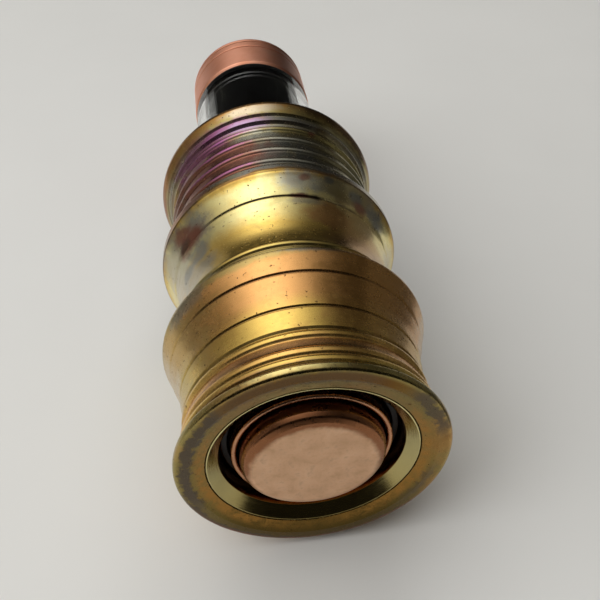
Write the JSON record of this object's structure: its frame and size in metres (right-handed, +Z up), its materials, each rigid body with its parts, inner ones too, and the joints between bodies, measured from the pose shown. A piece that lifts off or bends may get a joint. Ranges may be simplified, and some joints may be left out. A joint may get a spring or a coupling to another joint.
{
  "type": "pocket tube vaporiser",
  "caption": "Hand-held tube vaporiser in turned brass rings, with a copper fire button in its flared end and a clear atomiser with a copper cap, lying on its side.",
  "frame": {"origin": "on the floor under the middle of the length, where the ring rims rest", "axes": "+Y along the device's axis from the button to the mouthpiece, +Z up, +X across"},
  "size_m": [0.0352, 0.1024, 0.0352],
  "materials": {
    "heat_tinted_brass": "polished, with heat colours and dark stains",
    "plain_brass": "turned",
    "copper": "satin copper, mottled on the button",
    "steel": "turned",
    "black_plastic": "matt",
    "black_gloss": "gloss",
    "clear_tube": "clear",
    "seal_rubber": "silicone",
    "cell_wrap": "shrink film",
    "cotton": "loose fibre"
  },
  "bodies": {
    "body": {"middle_ring": "heat_tinted_brass", "upper_ring": "heat_tinted_brass", "body_tube": "copper", "cell_can": "steel", "cell_wrap": "cell_wrap", "cell_gasket": "black_plastic", "cell_positive_cap": "steel", "connector_plate": "plain_brass", "connector_insulator": "black_plastic", "centre_pin": "copper", "atomiser_base": "steel", "base_pin_insulator": "black_plastic", "base_pin": "plain_brass", "air_chamber": "steel", "deck": "steel", "positive_post": "steel", "negative_post": "steel", "post_insulator": "black_plastic", "positive_post_screw": "steel", "negative_post_screw": "steel", "coil": "steel", "wick": "cotton", "chamber_shell": "black_gloss", "lower_sleeve_seal": "seal_rubber", "clear_sleeve": "clear_tube", "upper_sleeve_seal": "seal_rubber", "top_collar": "copper"},
    "switch_seal": {"switch_seal": "seal_rubber"},
    "switch_end": {"lower_ring": "heat_tinted_brass", "switch_housing": "plain_brass", "switch_insulator": "black_plastic", "button_bush": "copper", "button_spring": "steel"},
    "button": {"fire_button": "copper", "contact_pin": "plain_brass"},
    "airflow": {"airflow_ring": "steel"},
    "cap_seal": {"cap_seal": "seal_rubber"},
    "cap": {"top_cap": "copper"},
    "mouthpiece": {"mouthpiece": "black_plastic", "mouthpiece_seal": "seal_rubber"}
  },
  "joints": [
    {"name": "switch_end_travel", "type": "slide", "parent": "body", "child": "switch_seal", "axis": [0, -1, 0], "range_m": [0, 0.003]},
    {"name": "switch_end_turn", "type": "hinge", "parent": "switch_seal", "child": "switch_end", "pos_m": [0, -0.042, 0.0176], "axis": [0, -1, 0], "range_deg": [0, 1080]},
    {"name": "button_press", "type": "slide", "parent": "switch_end", "child": "button", "axis": [0, 1, 0], "range_m": [0, 0.0015], "stiffness_N_per_m": 1000, "springref_m": -0.001, "deforming": ["button_spring"]},
    {"name": "airflow_turn", "type": "hinge", "parent": "body", "child": "airflow", "pos_m": [0, 0.00875, 0.0176], "axis": [0, 1, 0], "range_deg": [0, 90]},
    {"name": "cap_travel", "type": "slide", "parent": "body", "child": "cap_seal", "axis": [0, 1, 0], "range_m": [0, 0.003]},
    {"name": "cap_turn", "type": "hinge", "parent": "cap_seal", "child": "cap", "pos_m": [0, 0.0397, 0.0176], "axis": [0, 1, 0], "range_deg": [0, 1080]},
    {"name": "mouthpiece_pull", "type": "slide", "parent": "cap", "child": "mouthpiece", "axis": [0, 1, 0], "range_m": [0, 0.005]}
  ],
  "couplings": [
    {"joint": "switch_end_travel", "follows": "switch_end_turn", "m_per_rad": 0.00015915},
    {"joint": "cap_travel", "follows": "cap_turn", "m_per_rad": 0.00015915}
  ]
}
